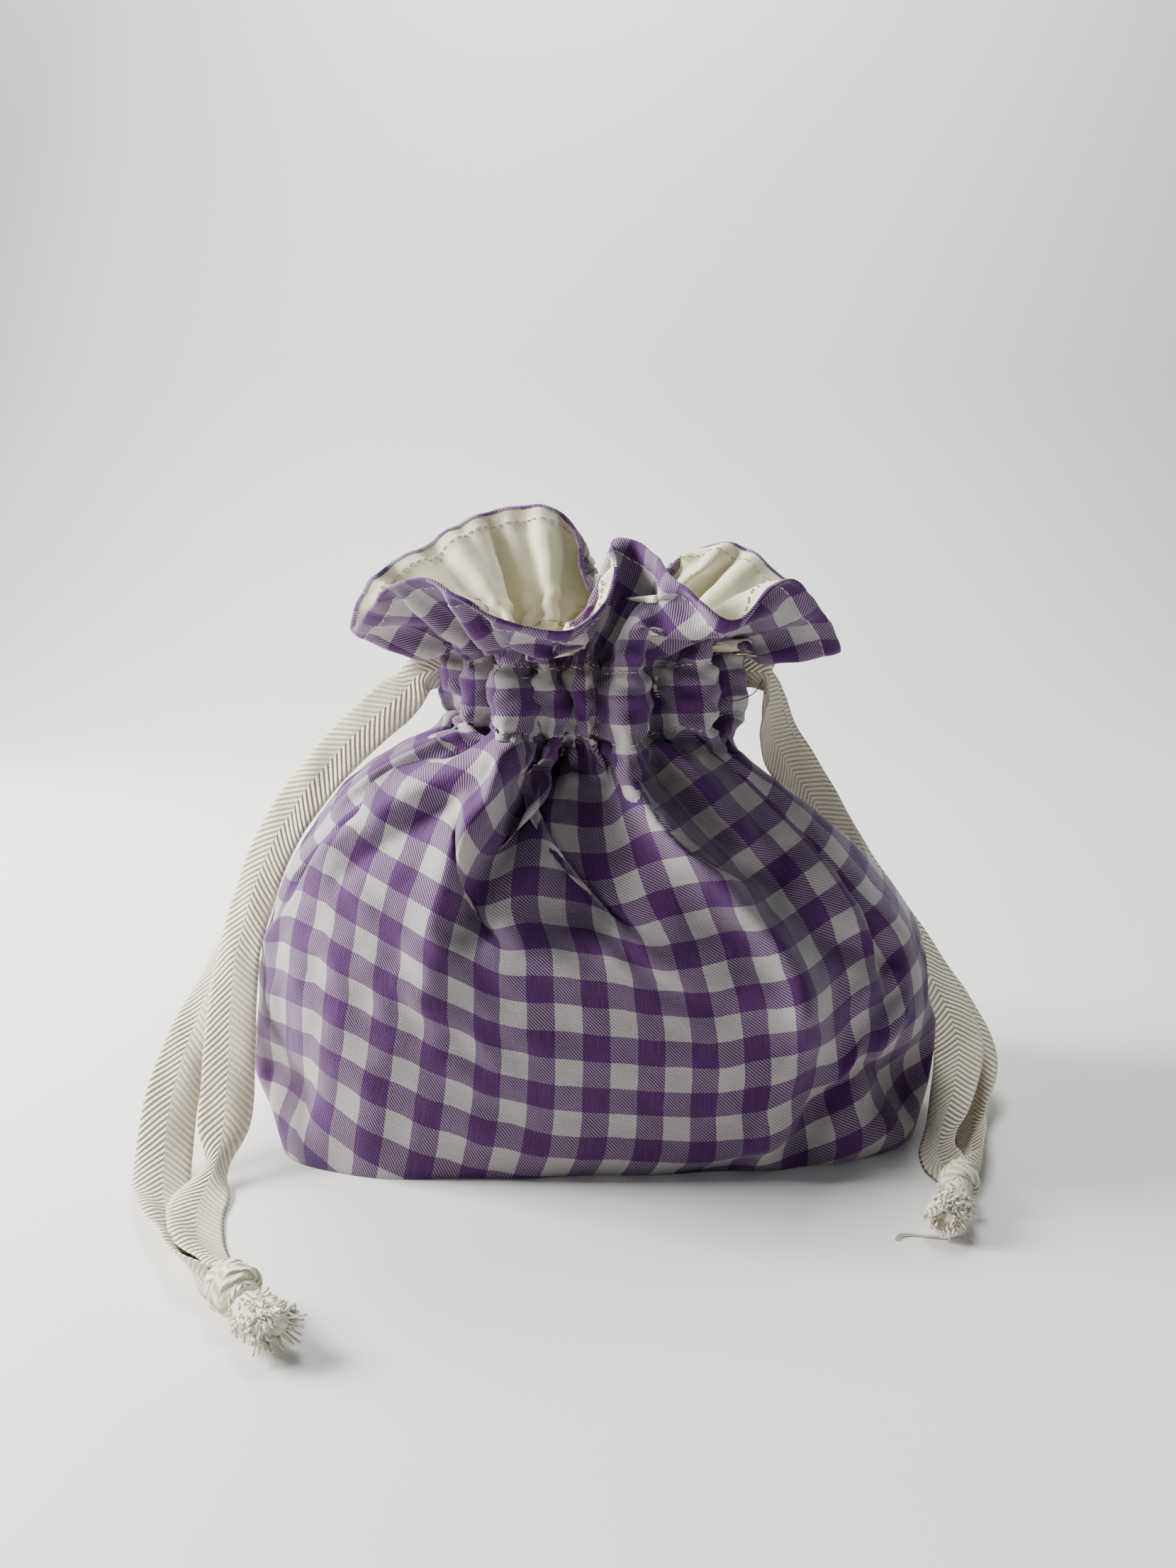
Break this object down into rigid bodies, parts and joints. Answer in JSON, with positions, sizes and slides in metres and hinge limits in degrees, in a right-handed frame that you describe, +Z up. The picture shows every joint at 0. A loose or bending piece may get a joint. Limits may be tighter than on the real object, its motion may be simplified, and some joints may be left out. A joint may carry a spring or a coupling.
{
  "type": "drawstring pouch",
  "caption": "Boxed-base cloth pouch in a gingham check with a plain lining, a gathered casing, a ruffled rim and two flat drawstring tapes knotted at the sides.",
  "frame": {"origin": "middle of the flat base, on the surface the pouch stands on", "axes": "+Z up, +X to the pouch's right seen from the front, +Y to its back"},
  "size_m": [0.3252, 0.234, 0.248],
  "materials": {
    "gingham_cotton": "matt woven cotton check in purple and white",
    "lining_cotton": "matt plain-weave cotton, cream",
    "tape_cotton": "matt herringbone cotton tape, natural"
  },
  "bodies": {
    "root": {"outer_shell": "gingham_cotton", "lining": "lining_cotton", "drawstring_left_channel": "tape_cotton", "drawstring_left_front_strand": "tape_cotton", "drawstring_left_back_strand": "tape_cotton", "drawstring_left_knot": "tape_cotton", "drawstring_right_channel": "tape_cotton", "drawstring_right_front_strand": "tape_cotton", "drawstring_right_back_strand": "tape_cotton", "drawstring_right_knot": "tape_cotton"}
  },
  "joints": []
}
